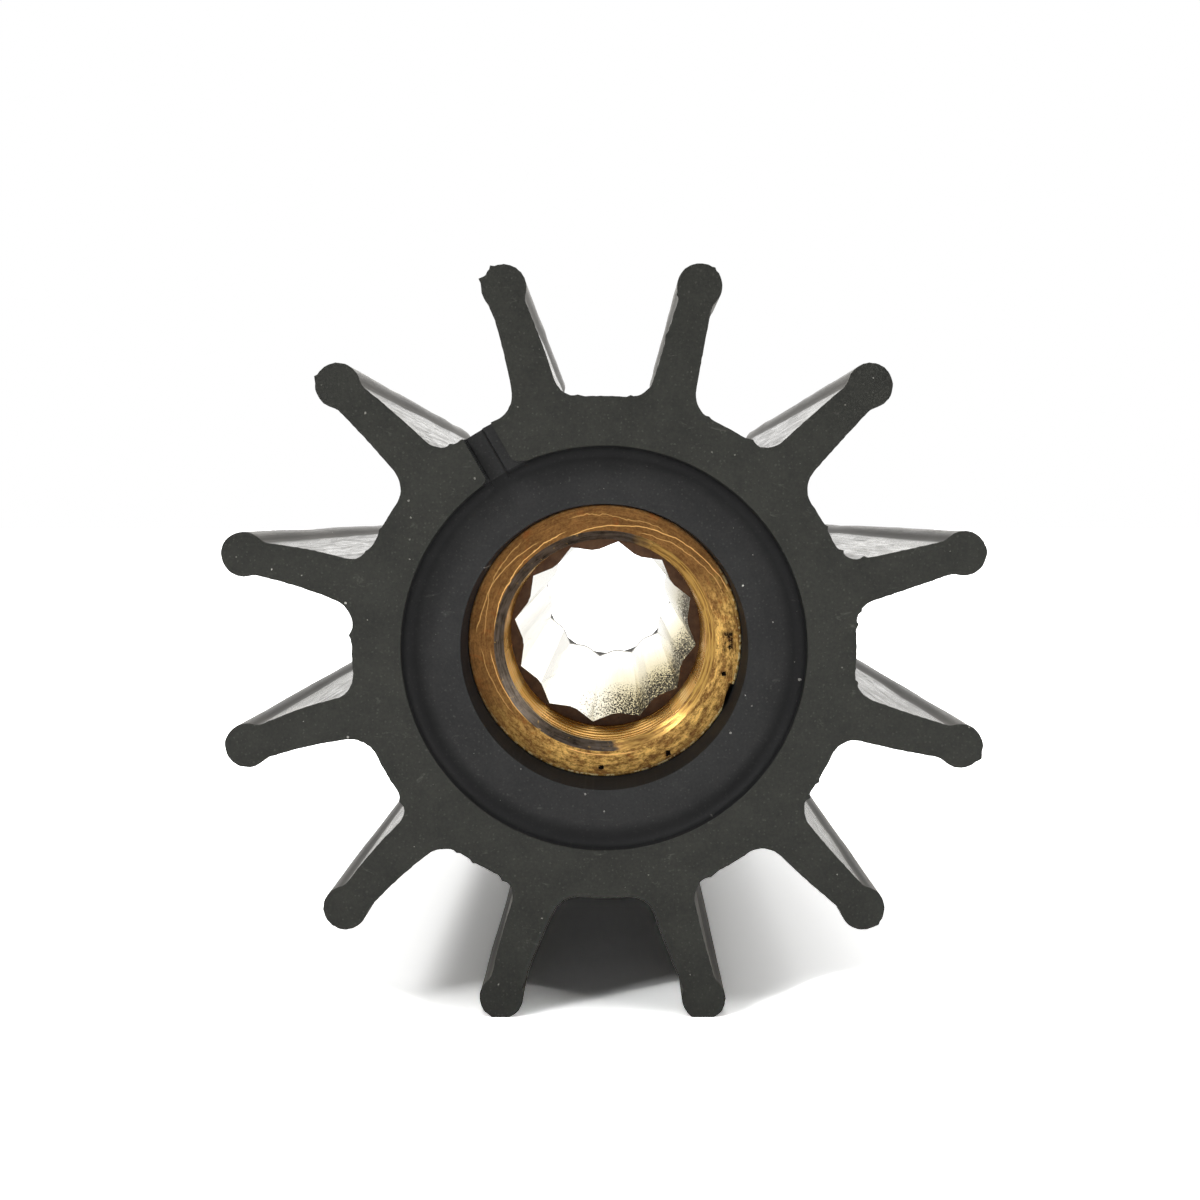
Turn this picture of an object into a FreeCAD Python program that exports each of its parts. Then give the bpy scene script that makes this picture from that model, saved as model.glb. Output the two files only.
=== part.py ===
# Rubber impeller of a flexible vane pump: one moulded rubber wheel bonded to a
# metal insert with a twelve point spline.
# Millimetres. The shaft axis is Y, with the end that shows the vent groove at -Y.
# Z is up, and the wheel stands on two of its vanes. The origin is on the axis, halfway along it.

import FreeCAD
import Part

import math
import os

from FreeCAD import Vector

# Rubber wheel
wheel_length = 88.9
tip_diameter = 95.25
hub_diameter = 61.1
vane_count = 12
root_thickness = 5.5
neck_thickness = 3.85
bulb_diameter = 5.4
root_fillet = 3.2
neck_fillet = 1.8

# Two lower vanes bent outward and pressed flat by the wheel's weight
left_lean = 4.5
right_lean = 2.6
floor_drop = 45.5

# Shallow recess in each end of the hub, and the vent groove that leads out of the near one
recess_diameter = 49.2
recess_depth = 2.0
recess_corner = 1.3
groove_width = 3.9
groove_draft = 0.2
shelf_width = 0.8
shelf_rise = 0.7
shelf_slope = 0.5

# Splined insert
insert_diameter = 35.4
insert_setback = 8.0
rim_chamfer = 0.3
mouth_diameter = 26.4
mouth_chamfer = 1.15
mouth_depth = 10.2
spline_points = 12
spline_across_points = 25.56
spline_bore = 23.2
spline_turn = 7.0
relief_diameter = 25.8
relief_depth = 5.7
relief_chamfer = 0.5

# Broken place in the insert's near rim
notch_angle = 341.5
notch_depth = 1.0
notch_run = 3.9
notch_height = 3.0

# Sizes that follow from those above
near_end = -wheel_length / 2
far_end = wheel_length / 2
hub_radius = hub_diameter / 2
bulb_radius = bulb_diameter / 2
bulb_centre = tip_diameter / 2 - bulb_radius
vane_pitch = 360.0 / vane_count
first_vane = vane_pitch / 2
groove_angle = 4 * vane_pitch
insert_near = near_end + insert_setback
insert_far = far_end - recess_depth
spline_near = insert_near + mouth_depth
spline_far = insert_far - relief_depth
insert_radius = insert_diameter / 2
spline_radius = spline_across_points / 2
clear = 1.0
snug = 0.001

centre = Vector(0, 0, 0)
turn_axis = Vector(0, -1, 0)


def turned(shape, angle):
    """Turn about the shaft axis, from +X towards +Z."""
    copy = shape.copy()
    copy.rotate(centre, turn_axis, angle)
    return copy


def round_bar(radius, start, end):
    """Solid cylinder on the shaft axis, its seam on the +X side."""
    bar = Part.makeCylinder(radius, end - start, Vector(0, 0, start), Vector(0, 0, 1))
    bar.rotate(centre, Vector(1, 0, 0), -90)
    return bar


def prism(points, start, end):
    """Bar between two stations on the axis, from (x, z) points."""
    corners = [Vector(x, start, z) for x, z in points]
    face = Part.Face(Part.makePolygon(corners + corners[:1]))
    return face.extrude(Vector(0, end - start, 0))


def spun(points):
    """Solid of revolution about the shaft axis, from (radius, y) points."""
    corners = [Vector(r, y, 0) for r, y in points]
    face = Part.Face(Part.makePolygon(corners + corners[:1]))
    return face.revolve(centre, Vector(0, 1, 0), 360)


def vane(angle, lean):
    """One tapered vane with its round tip, bent about the middle of its root."""
    inner = hub_radius - root_fillet
    sides = [
        (inner, -root_thickness / 2),
        (hub_radius, -root_thickness / 2),
        (bulb_centre, -neck_thickness / 2),
        (bulb_centre, neck_thickness / 2),
        (hub_radius, root_thickness / 2),
        (inner, root_thickness / 2),
    ]
    blade = prism(sides, near_end, far_end)
    bulb = turned(round_bar(bulb_radius, near_end, far_end), 180)
    bulb.translate(Vector(bulb_centre, 0, 0))
    whole = blade.fuse(bulb)
    whole.rotate(Vector(hub_radius, 0, 0), turn_axis, lean)
    return turned(whole, angle)


def bulb_axis(angle, lean):
    """Point on the axis of a vane's round tip."""
    way = math.radians(angle + lean)
    root = math.radians(angle)
    reach = bulb_centre - hub_radius
    x = hub_radius * math.cos(root) + reach * math.cos(way)
    z = hub_radius * math.sin(root) + reach * math.sin(way)
    return Vector(x, 0, z)


def vane_places():
    """Angle and lean of every vane; the two lowest lean outward."""
    places = []
    for k in range(vane_count):
        angle = first_vane + k * vane_pitch
        lean = 0.0
        if abs(angle - (270 - vane_pitch / 2)) < snug:
            lean = -left_lean
        if abs(angle - (270 + vane_pitch / 2)) < snug:
            lean = right_lean
        places.append((angle, lean))
    return places


def edges_beside(shape, axis_point, radius):
    """Edges along the shaft at one distance from a line along the shaft."""
    found = []
    for edge in shape.Edges:
        middle = edge.CenterOfMass
        across = math.hypot(middle.x - axis_point.x, middle.z - axis_point.z)
        full_length = edge.Length > wheel_length - snug
        straight = edge.BoundBox.XLength < snug and edge.BoundBox.ZLength < snug
        if full_length and straight and abs(across - radius) < snug:
            found.append(edge)
    return found


def vaned_wheel():
    """Hub and vanes as one solid, blended at the roots and behind the round tips."""
    hub = turned(round_bar(hub_radius, near_end, far_end), first_vane)
    vanes = [vane(angle, lean) for angle, lean in vane_places()]
    wheel = hub.multiFuse(vanes).removeSplitter()
    wheel = wheel.makeFillet(root_fillet, edges_beside(wheel, centre, hub_radius))
    necks = []
    for angle, lean in vane_places():
        necks += edges_beside(wheel, bulb_axis(angle, lean), bulb_radius)
    return wheel.makeFillet(neck_fillet, necks)


def hub_recess(end, inward):
    """Round recess in one end, with a rounded corner at its floor."""
    radius = recess_diameter / 2
    outside = end - inward * clear
    floor = end + inward * recess_depth
    bend_start = Vector(radius, floor - inward * recess_corner, 0)
    bend_middle = Vector(
        radius - recess_corner * (1 - math.cos(math.pi / 4)),
        floor - inward * recess_corner * (1 - math.sin(math.pi / 4)),
        0,
    )
    bend_end = Vector(radius - recess_corner, floor, 0)
    edges = [
        Part.makeLine(Vector(0, outside, 0), Vector(radius, outside, 0)),
        Part.makeLine(Vector(radius, outside, 0), bend_start),
        Part.Arc(bend_start, bend_middle, bend_end).toShape(),
        Part.makeLine(bend_end, Vector(0, floor, 0)),
        Part.makeLine(Vector(0, floor, 0), Vector(0, outside, 0)),
    ]
    return Part.Face(Part.Wire(edges)).revolve(centre, Vector(0, 1, 0), 360)


def vent_groove():
    """Radial groove as deep as the recess, with a sloping shelf along its right side."""
    half = groove_width / 2
    floor = near_end + recess_depth
    section = [
        (half, near_end - clear),
        (half, near_end),
        (half - groove_draft, floor),
        (-half + groove_draft + shelf_width + shelf_slope, floor),
        (-half + groove_draft + shelf_width, floor - shelf_rise),
        (-half + groove_draft, floor - shelf_rise),
        (-half, near_end),
        (-half, near_end - clear),
    ]
    inner = recess_diameter / 2 - recess_corner - clear
    corners = [Vector(inner, y, t) for t, y in section]
    face = Part.Face(Part.makePolygon(corners + corners[:1]))
    reach = hub_radius + clear - inner
    return turned(face.extrude(Vector(reach, 0, 0)), groove_angle)


def below_floor():
    """Everything under the surface that the lower vanes stand on."""
    size = tip_diameter
    block = Part.makeBox(size, wheel_length + 2 * clear, size)
    block.translate(Vector(-size / 2, near_end - clear, -floor_drop - size))
    return block


def rubber_body():
    wheel = vaned_wheel()
    wheel = wheel.cut(below_floor())
    wheel = wheel.cut(hub_recess(near_end, 1))
    wheel = wheel.cut(hub_recess(far_end, -1))
    wheel = wheel.cut(vent_groove())
    return wheel.cut(round_bar(insert_radius, near_end - clear, far_end + clear))


def spline_hole():
    """Twelve point star, as two hexagons make, over the round bore it was cut from."""
    half_step = math.pi / spline_points
    valley = spline_radius * math.cos(2 * half_step) / math.cos(half_step)
    points = []
    for k in range(2 * spline_points):
        radius = spline_radius if k % 2 == 0 else valley
        way = math.radians(first_vane + spline_turn) + k * half_step
        points.append((radius * math.cos(way), radius * math.sin(way)))
    start = insert_near - clear
    end = insert_far + clear
    return prism(points, start, end).fuse(round_bar(spline_bore / 2, start, end))


def rim_notch():
    """Break that is deep at one end and runs out along the rim."""
    step = math.radians(notch_angle)
    runout = step - notch_run / insert_radius
    inner = insert_radius - notch_depth
    beyond = insert_radius + clear
    points = [
        (inner * math.cos(step), inner * math.sin(step)),
        (beyond * math.cos(step), beyond * math.sin(step)),
        (beyond * math.cos(runout), beyond * math.sin(runout)),
        (insert_radius * math.cos(runout), insert_radius * math.sin(runout)),
    ]
    return prism(points, insert_near - clear, insert_near + notch_height)


def spline_insert():
    """Turned tube: chamfered mouth, splined middle and a plain relief at the far end."""
    mouth = mouth_diameter / 2
    relief = relief_diameter / 2
    outside = [
        (0, insert_near),
        (insert_radius - rim_chamfer, insert_near),
        (insert_radius, insert_near + rim_chamfer),
        (insert_radius, insert_far - rim_chamfer),
        (insert_radius - rim_chamfer, insert_far),
        (0, insert_far),
    ]
    near_bore = [
        (0, insert_near - clear),
        (mouth + mouth_chamfer + clear, insert_near - clear),
        (mouth, insert_near + mouth_chamfer),
        (mouth, spline_near),
        (0, spline_near),
    ]
    far_bore = [
        (0, spline_far),
        (relief, spline_far),
        (relief, insert_far - relief_chamfer),
        (relief + relief_chamfer + clear, insert_far + clear),
        (0, insert_far + clear),
    ]
    tube = spun(outside).cut(spline_hole())
    tube = tube.cut(spun(near_bore))
    tube = tube.cut(spun(far_bore))
    return tube.cut(rim_notch())


def main():
    os.makedirs("parts", exist_ok=True)
    nodes = {
        "rubber_body": rubber_body(),
        "spline_insert": spline_insert(),
    }
    for name, shape in nodes.items():
        solids = shape.Solids
        print(name, len(solids), "solid,", round(shape.Volume, 1), "mm3, valid", shape.isValid())
        solids[0].exportStep("parts/" + name + ".step")


main()
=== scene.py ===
import math

import bmesh
import bpy
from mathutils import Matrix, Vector


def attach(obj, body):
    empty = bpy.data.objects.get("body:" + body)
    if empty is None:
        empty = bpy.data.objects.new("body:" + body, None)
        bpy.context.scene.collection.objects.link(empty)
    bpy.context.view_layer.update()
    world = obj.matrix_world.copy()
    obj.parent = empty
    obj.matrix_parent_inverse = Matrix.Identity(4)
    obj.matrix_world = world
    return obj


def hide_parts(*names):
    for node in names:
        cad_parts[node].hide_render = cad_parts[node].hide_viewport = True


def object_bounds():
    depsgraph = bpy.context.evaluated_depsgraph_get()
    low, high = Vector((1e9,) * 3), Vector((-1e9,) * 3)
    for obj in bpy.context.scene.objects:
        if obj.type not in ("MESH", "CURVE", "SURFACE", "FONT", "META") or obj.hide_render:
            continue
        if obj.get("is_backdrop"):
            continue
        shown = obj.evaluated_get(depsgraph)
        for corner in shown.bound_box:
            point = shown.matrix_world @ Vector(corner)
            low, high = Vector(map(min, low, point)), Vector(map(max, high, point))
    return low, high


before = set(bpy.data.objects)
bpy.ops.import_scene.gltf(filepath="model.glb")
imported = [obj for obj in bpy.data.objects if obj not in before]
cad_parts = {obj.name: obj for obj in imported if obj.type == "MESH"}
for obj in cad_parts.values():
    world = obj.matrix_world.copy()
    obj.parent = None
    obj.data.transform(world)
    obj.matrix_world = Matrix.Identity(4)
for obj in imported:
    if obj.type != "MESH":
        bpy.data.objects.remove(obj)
cadLow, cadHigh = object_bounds()
print("frame loaded")


# node helpers
def linkIn(tree, socket, value):
    if isinstance(value, bpy.types.NodeSocket):
        tree.links.new(value, socket)
    else:
        socket.default_value = value


def fill(tree, node, values):
    # values: by socket, a number, a colour or another node's output
    for socket, value in values.items():
        linkIn(tree, node.inputs[socket], value)


def addNode(tree, kind, values, **options):
    node = tree.nodes.new(kind)
    for option, value in options.items():
        setattr(node, option, value)
    fill(tree, node, values)
    return node


def sums(tree, operation, a, b=0.0):
    return addNode(tree, "ShaderNodeMath", {0: a, 1: b}, operation=operation).outputs[0]


def times(tree, a, b):
    return sums(tree, "MULTIPLY", a, b)


def most(tree, a, b):
    return sums(tree, "MAXIMUM", a, b)


def apart(tree, a, b):
    return sums(tree, "ABSOLUTE", sums(tree, "SUBTRACT", a, b))


def scaled(tree, value, gain, start):
    return addNode(tree, "ShaderNodeMath", {0: value, 1: gain, 2: start}, operation="MULTIPLY_ADD").outputs[0]


# camera at the photo's view
viewCamera = {
    "place": (1.25, -158.56, 16.36),  # mm, a little above the shaft axis
    "downTilt": 2.926,  # degrees
    "turn": -0.04,
    "sensor": 36,
    "lens": 28.5,
    "shiftX": -0.01263,
    "shiftY": -0.0305,
    "clip": (0.005, 20),
}


def addCamera(values):
    data = bpy.data.cameras.new("photoView")
    camera = bpy.data.objects.new("photoView", data)
    bpy.context.scene.collection.objects.link(camera)
    camera.location = Vector(values["place"]) / 1000
    camera.rotation_euler = (math.radians(90 - values["downTilt"]), 0, math.radians(values["turn"]))
    data.sensor_width = values["sensor"]
    data.lens = values["lens"]
    data.shift_x = values["shiftX"]
    data.shift_y = values["shiftY"]
    data.clip_start, data.clip_end = values["clip"]
    bpy.context.scene.camera = camera


addCamera(viewCamera)
print("camera placed")


# white studio: world, floor and soft lamps
studio = {
    "around": 1.6,  # light from the sides and from behind
    "front": 0.05,  # light from beside the camera
    "frontEdge": -0.42,  # where the one turns into the other, along Y
    "backEdge": 0.12,
    "floorSize": 8.0,  # m
    "floorColour": (0.90, 0.90, 0.895, 1),
    "floorGain": 2.4,  # makes the open floor white to the camera
}


def buildWorld(values):
    world = bpy.data.worlds.new("whiteStudio")
    world.use_nodes = True
    tree = world.node_tree
    tree.nodes.clear()
    where = addNode(tree, "ShaderNodeTexCoord", {})
    split = addNode(tree, "ShaderNodeSeparateXYZ", {0: where.outputs["Generated"]})
    level = addNode(tree, "ShaderNodeMapRange", {
        "Value": split.outputs["Y"],
        "From Min": values["frontEdge"], "From Max": values["backEdge"],
        "To Min": values["front"], "To Max": values["around"],
    }, interpolation_type="SMOOTHSTEP")
    light = addNode(tree, "ShaderNodeBackground", {"Color": (1, 1, 1, 1), "Strength": level.outputs[0]})
    # what the camera and glass see
    seen = addNode(tree, "ShaderNodeBackground", {"Color": (1, 1, 1, 1), "Strength": 1.0})
    path = addNode(tree, "ShaderNodeLightPath", {})
    either = most(tree, path.outputs["Is Camera Ray"], path.outputs["Is Transmission Ray"])
    mix = addNode(tree, "ShaderNodeMixShader", {0: either, 1: light.outputs[0], 2: seen.outputs[0]})
    addNode(tree, "ShaderNodeOutputWorld", {"Surface": mix.outputs[0]})
    bpy.context.scene.world = world


def buildFloor(values):
    low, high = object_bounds()
    bpy.ops.mesh.primitive_plane_add(size=values["floorSize"], location=(0, 0, low.z))
    floor = bpy.context.object
    floor.name = "studioFloor"
    look = bpy.data.materials.new("paleFloor")
    look.use_nodes = True
    tree = look.node_tree
    tree.nodes.clear()
    colour = values["floorColour"]
    seen = tuple(c * values["floorGain"] for c in colour[:3]) + (1,)
    path = addNode(tree, "ShaderNodeLightPath", {})
    mixColour = addNode(
        tree, "ShaderNodeMix", {0: path.outputs["Is Camera Ray"], 6: colour, 7: seen}, data_type="RGBA",
    )
    diffuse = addNode(tree, "ShaderNodeBsdfDiffuse", {"Color": mixColour.outputs[2]})
    addNode(tree, "ShaderNodeOutputMaterial", {"Surface": diffuse.outputs[0]})
    floor.data.materials.append(look)
    floor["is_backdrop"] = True


def placeLight(name, data, place, aim):
    lamp = bpy.data.objects.new(name, data)
    bpy.context.scene.collection.objects.link(lamp)
    lamp.location = place
    lamp.rotation_euler = (Vector(aim) - Vector(place)).to_track_quat("-Z", "Y").to_euler()


def addLamp(name, place, size, power):
    # soft lamp aimed at the middle of the wheel; metres and watts
    data = bpy.data.lights.new(name, "AREA")
    data.shape = "ELLIPSE"
    data.size, data.size_y = size
    data.energy = power
    placeLight(name, data, place, (0, 0, 0))


def addSpark(name, place, aim, cone, power):
    # narrow soft spot for the glints in the insert's mouth; cone in degrees
    data = bpy.data.lights.new(name, "SPOT")
    data.spot_size = math.radians(cone)
    data.spot_blend = 1.0
    data.shadow_soft_size = 0.04
    data.energy = power
    placeLight(name, data, place, aim)


buildWorld(studio)
buildFloor(studio)
addLamp("overhead", (-0.10, -0.16, 1.1), (0.6, 0.4), 3.2)
addLamp("softLeft", (-0.62, -0.42, 0.62), (0.22, 0.22), 2.4)
addLamp("softRight", (0.85, -0.26, 0.42), (0.3, 0.3), 1.5)
addSpark("sparkLeft", (-0.66, -0.42, 0.56), (0.0102, -0.033, -0.0082), 1.7, 130)
addSpark("sparkRight", (0.80, -0.42, 0.42), (-0.0122, -0.033, -0.0055), 1.6, 150)
addLamp("levelFill", (0, -1.3, 0.02), (1.4, 0.11), 2.6)
bpy.context.scene.view_settings.view_transform = "Standard"
print("studio ready")


# modelling helpers, all sizes in mm
def mm(value):
    return value / 1000


def selectOnly(piece):
    if bpy.context.mode != "OBJECT":
        bpy.ops.object.mode_set(mode="OBJECT")
    bpy.ops.object.select_all(action="DESELECT")
    piece.select_set(True)
    bpy.context.view_layer.objects.active = piece


def toEdit(piece):
    selectOnly(piece)
    bpy.ops.object.mode_set(mode="EDIT")


def toObject():
    bpy.ops.object.mode_set(mode="OBJECT")


def pickAll():
    bpy.ops.mesh.select_all(action="SELECT")


def pick(piece, kind, test):
    # selects the verts, edges or faces that pass the test, and nothing else
    bpy.ops.mesh.select_mode(type=kind)
    bpy.ops.mesh.select_all(action="DESELECT")
    shape = bmesh.from_edit_mesh(piece.data)
    for item in {"VERT": shape.verts, "EDGE": shape.edges, "FACE": shape.faces}[kind]:
        if test(item):
            item.select_set(True)
    bmesh.update_edit_mesh(piece.data)


def startPoint(name, point):
    # one loose point on the XZ plane, ready to be extruded into an outline
    bpy.ops.mesh.primitive_plane_add(size=mm(1), location=(0, 0, 0))
    piece = bpy.context.object
    piece.name = name
    bpy.ops.object.mode_set(mode="EDIT")
    bpy.ops.mesh.select_mode(type="VERT")
    pickAll()
    bpy.ops.mesh.merge(type="CENTER")
    bpy.ops.transform.translate(value=(mm(point.x), 0, mm(point.y)))
    return piece


def drawLine(start, end, steps):
    way = (end - start) / steps
    for step in range(steps):
        bpy.ops.mesh.extrude_region_move(TRANSFORM_OT_translate={"value": (mm(way.x), 0, mm(way.y))})


def drawPath(points):
    for start, end in zip(points, points[1:]):
        drawLine(start, end, 1)


def drawArc(centre, start, end, steps):
    fromWay, toWay = start - centre, end - centre
    turn = math.atan2(toWay.y, toWay.x) - math.atan2(fromWay.y, fromWay.x)
    turn = (turn + math.pi) % (2 * math.pi) - math.pi
    bpy.ops.mesh.spin(steps=steps, angle=turn, center=(mm(centre.x), 0, mm(centre.y)), axis=(0, 1, 0))


def swung(x, y, degrees):
    a = math.radians(degrees)
    return Vector((x * math.cos(a) - y * math.sin(a), x * math.sin(a) + y * math.cos(a)))


def alongUntil(start, way, centre, reach, second):
    # where a straight line comes to a given distance from a centre
    offset = start - centre
    b = offset.dot(way)
    root = math.sqrt(b * b - offset.length_squared + reach * reach)
    return start + way * (root - b if second else -root - b)


def turnPiece(piece, degrees):
    # about the shaft axis, from +X towards +Z
    selectOnly(piece)
    piece.rotation_euler = (0, math.radians(-degrees), 0)
    bpy.ops.object.transform_apply(location=False, rotation=True, scale=False)


def shaftBar(name, radius, start, end, sides=144):
    # closed round bar along the shaft
    bpy.ops.mesh.primitive_cylinder_add(
        vertices=sides, radius=mm(radius), depth=mm(end - start),
        location=(0, mm((start + end) / 2), 0), rotation=(math.radians(90), 0, 0),
    )
    piece = bpy.context.object
    piece.name = name
    bpy.ops.object.transform_apply(location=True, rotation=True, scale=True)
    return piece


def throughBar(name, radius):
    # round bar that stands out of both ends of the part
    return shaftBar(name, radius, -60, 60)


def sliceAt(y):
    pickAll()
    bpy.ops.mesh.bisect(plane_co=(0, mm(y), 0), plane_no=(0, 1, 0))


def widen(radius, extra):
    # the picked points, away from the shaft axis
    wide = (radius + extra) / radius
    bpy.ops.transform.resize(value=(wide, 1, wide))


def raisePlan(plan, start, depth):
    # turns a drawn outline into a bar from 1 mm before start
    pickAll()
    bpy.ops.mesh.edge_face_add()
    bpy.ops.transform.translate(value=(0, mm(start - 1), 0))
    bpy.ops.mesh.extrude_region_move(TRANSFORM_OT_translate={"value": (0, mm(1 + depth), 0)})
    finishPiece(plan)


def finishPiece(piece):
    toEdit(piece)
    pickAll()
    bpy.ops.mesh.normals_make_consistent(inside=False)
    toObject()


def applyModifier(piece, modifier):
    selectOnly(piece)
    bpy.ops.object.modifier_apply(modifier=modifier.name)


def cutAway(piece, cutter):
    modifier = piece.modifiers.new("cut", "BOOLEAN")
    modifier.operation = "DIFFERENCE"
    modifier.solver = "EXACT"
    modifier.object = cutter
    applyModifier(piece, modifier)
    bpy.data.objects.remove(cutter)


def radiusOf(point):
    return math.hypot(point.x, point.z) * 1000


def atY(item, y, slack=0.002):
    return all(abs(v.co.y * 1000 - y) < slack for v in item.verts)


# rubber wheel
rubberWheel = {
    "nearEnd": -44.45,
    "farEnd": 44.45,
    "hubRadius": 30.55,
    "rootHalf": 2.75,
    "neckHalf": 1.925,
    "bulbRadius": 2.7,
    "bulbCentre": 44.925,
    "rootRound": 3.2,
    "neckRound": 1.8,
    "steps": (6, 10, 18, 4, 15),  # points along hub, root round, side, neck round and half a tip
    "footLevel": -45.5,
    "footLeans": {255: -4.5, 285: 2.6},  # the two vanes it stands on
    "stations": (0.25, 0.6, 1.1, 1.9, 3.2, 5.2, 8, 12, 17, 22, 27, 32, 38, 44.45,
                 51, 57, 63, 69, 74, 78, 82, 85, 87, 88, 88.6, 88.9),
    # how far each vane bows and each tip sways to the side, by the vane's angle
    "webBow": {45: 0.08, 75: 0.12, 105: -0.1, 135: -0.14, 165: -0.24, 195: -0.3, 225: -0.25,
               255: -0.18, 285: -0.1, 315: -0.14, 345: -0.15},
    "tipSway": {15: 0.12, 75: 0.26, 105: 0.28, 315: -0.1, 345: -0.1},
    "bowFrom": 31.5,  # radius where the bow starts
    "bowReach": 11,
    "waveDepth": 0.16,
    "waveSize": 0.011,  # m
    "waveFrom": (0.8, 12),  # behind the near end, and over how far the waves grow
    "calmBelow": -43.5,  # no waves on the feet
    "rimRagged": 0.07,
    "rimSoftness": 0.12,
    "recessRadius": 24.6,
    "recessDepth": 2.0,
    "recessRound": 1.3,
    "recessEdge": 0.14,
    "boreRadius": 17.7,
    "grooveAngle": 120,
    "grooveHalf": 1.95,
    "grooveBends": (1.2, 0.6),  # rounded corners where it leaves the recess
    "grooveDraft": 0.13,
    "grooveCorner": 0.25,
    "shelfDrop": 1.3,
    "shelfWidth": 1.0,
    "shelfSlope": 0.5,
    "sliver": (-16.935, -44.33, 25.432),
    "sliverReach": 0.16,
}
# nicks and flash on the near rim: x, z, how far out (or in), how wide
rimMarks = (
    (30.4, 3.2, 0.45, 0.8), (30.9, 4.6, 0.25, 0.5), (28.5, 11.8, 0.5, 1.0), (31.5, 11.1, 0.45, 0.9),
    (26.8, 14.7, 0.3, 0.7), (17.4, 25.1, 0.5, 1.4), (12.4, 28.0, 0.25, 0.9), (3.0, 30.4, 0.28, 0.7),
    (-3.2, 30.4, 0.35, 1.5), (-14.5, 44.2, 0.55, 0.7), (-13.4, 45.6, 0.4, 0.6), (-14.0, 45.0, -0.35, 0.5),
    (-13.1, 40.9, 0.25, 1.4), (-18.3, 24.6, 0.28, 0.7), (-34.3, 32.8, 0.32, 0.7), (-26.9, 14.5, 0.28, 0.7),
    (-28.5, 11.8, 0.34, 1.8), (-30.5, 2.0, 0.4, 1.3), (-24.6, -18.4, 0.55, 1.3), (-18.1, -24.7, 0.25, 0.7),
    (-15.9, -26.1, 0.28, 0.6), (-12.2, -28.2, 0.42, 1.2), (12.9, -27.7, 0.4, 1.3), (24.7, -18.1, 0.5, 0.8),
    (26.0, -16.2, 0.35, 0.6), (45.7, -13.0, 0.32, 0.9), (46.2, 11.9, 0.35, 0.8), (9.1, 42.5, 0.25, 0.6),
    (33.7, -33.6, 0.28, 0.6), (7.6, 37.4, 0.2, 1.0), (30.6, -4.0, 0.28, 0.6), (13.3, 45.9, 0.2, 0.6),
)


def traceVane(name, lean, values):
    # outline of one vane from valley to valley, drawn along +X
    hub = Vector((0, 0))
    root = Vector((values["hubRadius"], 0))
    reach = values["bulbCentre"] - values["hubRadius"]
    bulb = root + swung(reach, 0, lean)
    tip = bulb + swung(values["bulbRadius"], 0, lean)
    sides = []
    for side in (1, -1):
        inner = root + swung(0, side * values["rootHalf"], lean)
        outer = root + swung(reach, side * values["neckHalf"], lean)
        way = (outer - inner).normalized()
        out = Vector((-way.y, way.x)) * side
        rootFar = values["hubRadius"] + values["rootRound"]
        neckFar = values["bulbRadius"] + values["neckRound"]
        rootCentre = alongUntil(inner + out * values["rootRound"], way, hub, rootFar, True)
        neckCentre = alongUntil(inner + out * values["neckRound"], way, bulb, neckFar, False)
        sides.append({
            "valley": swung(values["hubRadius"], 0, side * 15),
            "rootCentre": rootCentre,
            "neckCentre": neckCentre,
            "onHub": rootCentre * values["hubRadius"] / rootFar,
            "sideIn": rootCentre - out * values["rootRound"],
            "sideOut": neckCentre - out * values["neckRound"],
            "onBulb": bulb + (neckCentre - bulb) * values["bulbRadius"] / neckFar,
        })
    up, down = sides
    hubSteps, rootSteps, sideSteps, neckSteps, bulbSteps = values["steps"]
    piece = startPoint(name, down["valley"])
    drawArc(hub, down["valley"], down["onHub"], hubSteps)
    drawArc(down["rootCentre"], down["onHub"], down["sideIn"], rootSteps)
    drawLine(down["sideIn"], down["sideOut"], sideSteps)
    drawArc(down["neckCentre"], down["sideOut"], down["onBulb"], neckSteps)
    drawArc(bulb, down["onBulb"], tip, bulbSteps)
    drawArc(bulb, tip, up["onBulb"], bulbSteps)
    drawArc(up["neckCentre"], up["onBulb"], up["sideOut"], neckSteps)
    drawLine(up["sideOut"], up["sideIn"], sideSteps)
    drawArc(up["rootCentre"], up["sideIn"], up["onHub"], rootSteps)
    drawArc(hub, up["onHub"], up["valley"], hubSteps)
    toObject()
    return piece


def joinVanes(values):
    straight = traceVane("vaneLine", 0, values)
    lines = []
    for k in range(12):
        angle = 15 + 30 * k
        if angle in values["footLeans"]:
            line = traceVane("footLine", values["footLeans"][angle], values)
        else:
            line = straight.copy()
            line.data = straight.data.copy()
            bpy.context.scene.collection.objects.link(line)
        turnPiece(line, angle)
        lines.append(line)
    bpy.data.objects.remove(straight)
    bpy.ops.object.select_all(action="DESELECT")
    for line in lines:
        line.select_set(True)
    bpy.context.view_layer.objects.active = lines[0]
    bpy.ops.object.join()
    wheel = bpy.context.object
    wheel.name = "rubberWheel"
    wheel.data.name = "rubberWheel"
    return wheel


def extrudeWheel(wheel, values):
    toEdit(wheel)
    pickAll()
    bpy.ops.mesh.remove_doubles(threshold=mm(0.02))
    bpy.ops.transform.translate(value=(0, mm(values["nearEnd"]), 0))
    last = 0
    for station in values["stations"]:
        bpy.ops.mesh.extrude_edges_move(TRANSFORM_OT_translate={"value": (0, mm(station - last), 0)})
        last = station
    for end in (values["nearEnd"], values["farEnd"]):
        pick(wheel, "EDGE", lambda edge: atY(edge, end))
        bpy.ops.mesh.edge_face_add()
    pickAll()
    bpy.ops.mesh.normals_make_consistent(inside=False)


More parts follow.
